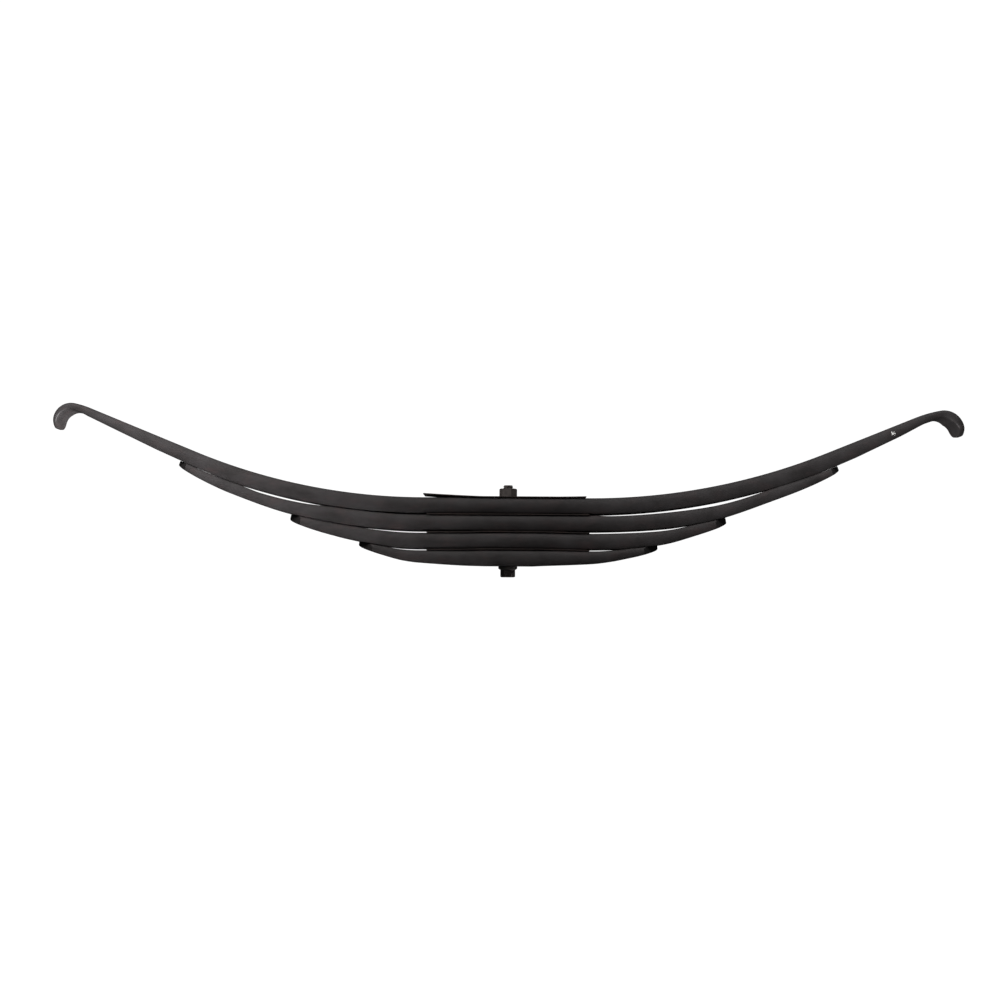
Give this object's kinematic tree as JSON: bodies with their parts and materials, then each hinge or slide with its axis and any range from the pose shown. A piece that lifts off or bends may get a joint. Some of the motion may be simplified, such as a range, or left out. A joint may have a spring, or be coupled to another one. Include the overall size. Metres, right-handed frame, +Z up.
{
  "type": "leaf spring",
  "caption": "Tapered multi-leaf slipper spring with hooked ends, seat liners, centre bolt and nut; its arms flex down under load.",
  "frame": {"origin": "on the centre bolt's axis, level with the lower end of the bolt's head", "axes": "+X along the spring towards the end with the wider hook, +Y across the leaves, +Z up from the axle seat to the hooked ends"},
  "size_m": [1.096, 0.0762, 0.2063],
  "materials": {
    "leaf_paint": "satin black paint over shot-peened spring steel",
    "liner_paint": "satin black paint over sheet steel",
    "bolt_paint": "satin black paint over steel"
  },
  "bodies": {
    "seat": {"main_leaf_seat": "leaf_paint", "second_leaf_seat": "leaf_paint", "third_leaf_seat": "leaf_paint", "fourth_leaf_seat": "leaf_paint", "top_liner": "liner_paint", "liner_below_main_leaf": "liner_paint", "liner_below_second_leaf": "liner_paint", "liner_below_third_leaf": "liner_paint", "centre_bolt": "bolt_paint", "centre_nut": "bolt_paint"},
    "main_leaf_left_arm": {"main_leaf_left_arm": "leaf_paint"},
    "second_leaf_left_arm": {"second_leaf_left_arm": "leaf_paint"},
    "third_leaf_left_arm": {"third_leaf_left_arm": "leaf_paint"},
    "fourth_leaf_left_arm": {"fourth_leaf_left_arm": "leaf_paint"},
    "main_leaf_right_arm": {"main_leaf_right_arm": "leaf_paint"},
    "second_leaf_right_arm": {"second_leaf_right_arm": "leaf_paint"},
    "third_leaf_right_arm": {"third_leaf_right_arm": "leaf_paint"},
    "fourth_leaf_right_arm": {"fourth_leaf_right_arm": "leaf_paint"}
  },
  "joints": [
    {"name": "main_leaf_left_flex", "type": "hinge", "parent": "seat", "child": "main_leaf_left_arm", "pos_m": [-0.1, 0, 0.07625], "axis": [0, -1, 0], "range_deg": [0, 8], "stiffness_Nm_per_rad": 130000},
    {"name": "second_leaf_left_flex", "type": "hinge", "parent": "seat", "child": "second_leaf_left_arm", "pos_m": [-0.1, 0, 0.05535], "axis": [0, -1, 0], "range_deg": [0, 8]},
    {"name": "third_leaf_left_flex", "type": "hinge", "parent": "seat", "child": "third_leaf_left_arm", "pos_m": [-0.1, 0, 0.03367], "axis": [0, -1, 0], "range_deg": [0, 8]},
    {"name": "fourth_leaf_left_flex", "type": "hinge", "parent": "seat", "child": "fourth_leaf_left_arm", "pos_m": [-0.1, 0, 0.01684], "axis": [0, -1, 0], "range_deg": [0, 8]},
    {"name": "main_leaf_right_flex", "type": "hinge", "parent": "seat", "child": "main_leaf_right_arm", "pos_m": [0.1, 0, 0.07627], "axis": [0, 1, 0], "range_deg": [0, 8], "stiffness_Nm_per_rad": 130000},
    {"name": "second_leaf_right_flex", "type": "hinge", "parent": "seat", "child": "second_leaf_right_arm", "pos_m": [0.1, 0, 0.05537], "axis": [0, 1, 0], "range_deg": [0, 8]},
    {"name": "third_leaf_right_flex", "type": "hinge", "parent": "seat", "child": "third_leaf_right_arm", "pos_m": [0.1, 0, 0.03356], "axis": [0, 1, 0], "range_deg": [0, 8]},
    {"name": "fourth_leaf_right_flex", "type": "hinge", "parent": "seat", "child": "fourth_leaf_right_arm", "pos_m": [0.1, 0, 0.01675], "axis": [0, 1, 0], "range_deg": [0, 8]}
  ],
  "couplings": [
    {"joint": "second_leaf_left_flex", "follows": "main_leaf_left_flex", "ratio": 1},
    {"joint": "third_leaf_left_flex", "follows": "main_leaf_left_flex", "ratio": 1},
    {"joint": "fourth_leaf_left_flex", "follows": "main_leaf_left_flex", "ratio": 1},
    {"joint": "second_leaf_right_flex", "follows": "main_leaf_right_flex", "ratio": 1},
    {"joint": "third_leaf_right_flex", "follows": "main_leaf_right_flex", "ratio": 1},
    {"joint": "fourth_leaf_right_flex", "follows": "main_leaf_right_flex", "ratio": 1}
  ]
}
